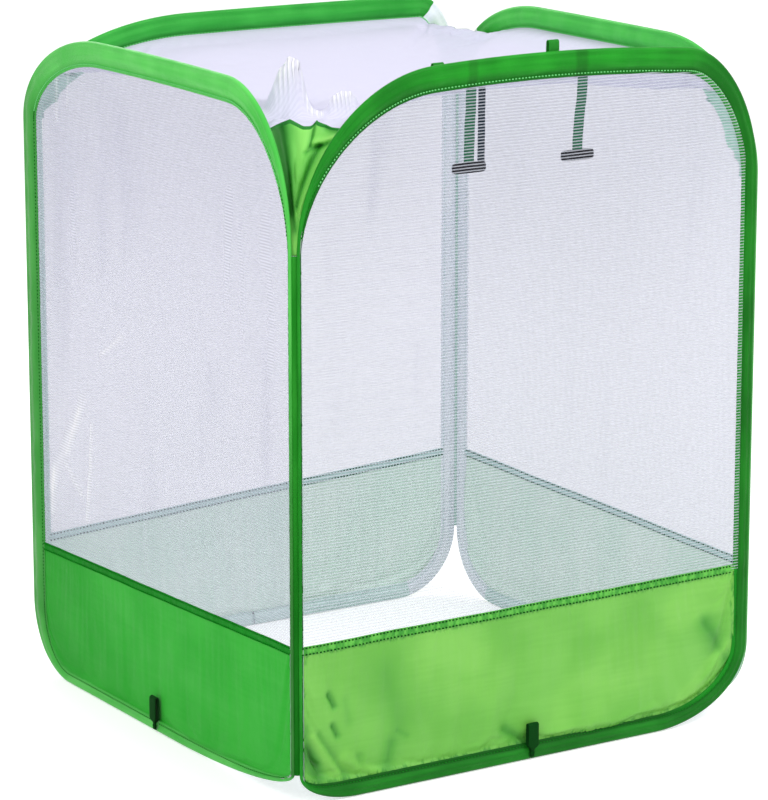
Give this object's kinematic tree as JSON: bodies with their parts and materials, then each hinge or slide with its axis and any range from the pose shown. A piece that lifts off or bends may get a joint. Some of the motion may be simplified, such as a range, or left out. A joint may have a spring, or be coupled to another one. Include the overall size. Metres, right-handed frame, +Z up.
{
  "type": "mesh plant cloche",
  "caption": "Square pop-up garden cover: sprung fabric-sleeved hoops hold mesh walls over a solid skirt and a mesh top, folding flat at the corner seams.",
  "frame": {"origin": "on the ground at the middle of the square that the walls stand on", "axes": "+Z up along the tallest side; the front wall, which carries the ties, faces -Y; +X to the right seen from the front"},
  "size_m": [0.7284, 0.7284, 0.9373],
  "materials": {
    "spring_wire": "drawn spring wire",
    "crimp_sleeve": "plain crimped steel",
    "sleeve_cloth": "glossy coated polyester binding",
    "wall_mesh": "fine knitted insect mesh",
    "top_mesh": "fine knitted mesh, wrinkled",
    "hem_band": "turned and twice-stitched polyester",
    "skirt_cloth": "satin polyester",
    "gusset_cloth": "satin polyester, gathered",
    "peg_webbing": "woven webbing",
    "tie_webbing": "woven webbing",
    "toggle_plastic": "moulded"
  },
  "bodies": {
    "front_wall": {"front_hoop": "spring_wire", "front_ferrule": "crimp_sleeve", "front_sleeve": "sleeve_cloth", "front_mesh": "wall_mesh", "front_hem": "hem_band", "front_skirt": "skirt_cloth", "front_left_seam": "sleeve_cloth", "front_right_seam": "sleeve_cloth", "front_left_gusset": "gusset_cloth", "front_right_gusset": "gusset_cloth", "top_sheet": "top_mesh", "left_tie_loop": "tie_webbing", "right_tie_loop": "tie_webbing"},
    "left_wall": {"left_hoop": "spring_wire", "left_ferrule": "crimp_sleeve", "left_sleeve": "sleeve_cloth", "left_mesh": "wall_mesh", "left_hem": "hem_band", "left_skirt": "skirt_cloth", "back_left_seam": "sleeve_cloth", "back_left_gusset": "gusset_cloth"},
    "right_wall": {"right_hoop": "spring_wire", "right_ferrule": "crimp_sleeve", "right_sleeve": "sleeve_cloth", "right_mesh": "wall_mesh", "right_hem": "hem_band", "right_skirt": "skirt_cloth", "back_right_seam": "sleeve_cloth", "back_right_gusset": "gusset_cloth"},
    "back_wall": {"back_hoop": "spring_wire", "back_ferrule": "crimp_sleeve", "back_sleeve": "sleeve_cloth", "back_mesh": "wall_mesh", "back_hem": "hem_band", "back_skirt": "skirt_cloth"},
    "front_peg": {"front_peg_loop": "peg_webbing"},
    "right_peg": {"right_peg_loop": "peg_webbing"},
    "back_peg": {"back_peg_loop": "peg_webbing"},
    "left_peg": {"left_peg_loop": "peg_webbing"},
    "left_tie": {"left_tie_strap": "tie_webbing", "left_tie_tail": "tie_webbing", "left_toggle": "toggle_plastic"},
    "right_tie": {"right_tie_strap": "tie_webbing", "right_toggle": "toggle_plastic"}
  },
  "joints": [
    {"name": "left_fold", "type": "hinge", "parent": "front_wall", "child": "left_wall", "pos_m": [-0.351, -0.351, 0.45], "axis": [0, 0, 1], "range_deg": [-80, 80], "deforming": ["top_sheet", "front_left_gusset"]},
    {"name": "right_fold", "type": "hinge", "parent": "front_wall", "child": "right_wall", "pos_m": [0.351, -0.351, 0.45], "axis": [0, 0, 1], "range_deg": [-80, 80], "deforming": ["front_right_gusset", "back_right_gusset"]},
    {"name": "back_fold", "type": "hinge", "parent": "left_wall", "child": "back_wall", "pos_m": [-0.351, 0.351, 0.45], "axis": [0, 0, 1], "range_deg": [-80, 80], "deforming": ["back_left_gusset"]},
    {"name": "front_peg_flip", "type": "hinge", "parent": "front_wall", "child": "front_peg", "pos_m": [0, -0.3605, 0.0045], "axis": [1, 0, 0], "range_deg": [0, 90]},
    {"name": "right_peg_flip", "type": "hinge", "parent": "right_wall", "child": "right_peg", "pos_m": [0.3605, 0, 0.0045], "axis": [0, 1, 0], "range_deg": [0, 90]},
    {"name": "back_peg_flip", "type": "hinge", "parent": "back_wall", "child": "back_peg", "pos_m": [0, 0.3605, 0.0045], "axis": [-1, 0, 0], "range_deg": [0, 90]},
    {"name": "left_peg_flip", "type": "hinge", "parent": "left_wall", "child": "left_peg", "pos_m": [-0.3605, 0, 0.0045], "axis": [0, -1, 0], "range_deg": [0, 90]},
    {"name": "left_tie_swing", "type": "hinge", "parent": "front_wall", "child": "left_tie", "pos_m": [-0.0975, -0.3536, 0.88655], "axis": [1, 0, 0], "range_deg": [0, 15]},
    {"name": "right_tie_swing", "type": "hinge", "parent": "front_wall", "child": "right_tie", "pos_m": [0.067, -0.3536, 0.88782], "axis": [1, 0, 0], "range_deg": [0, 15]}
  ],
  "couplings": [
    {"joint": "right_fold", "follows": "left_fold", "ratio": 1},
    {"joint": "back_fold", "follows": "left_fold", "ratio": -1}
  ]
}
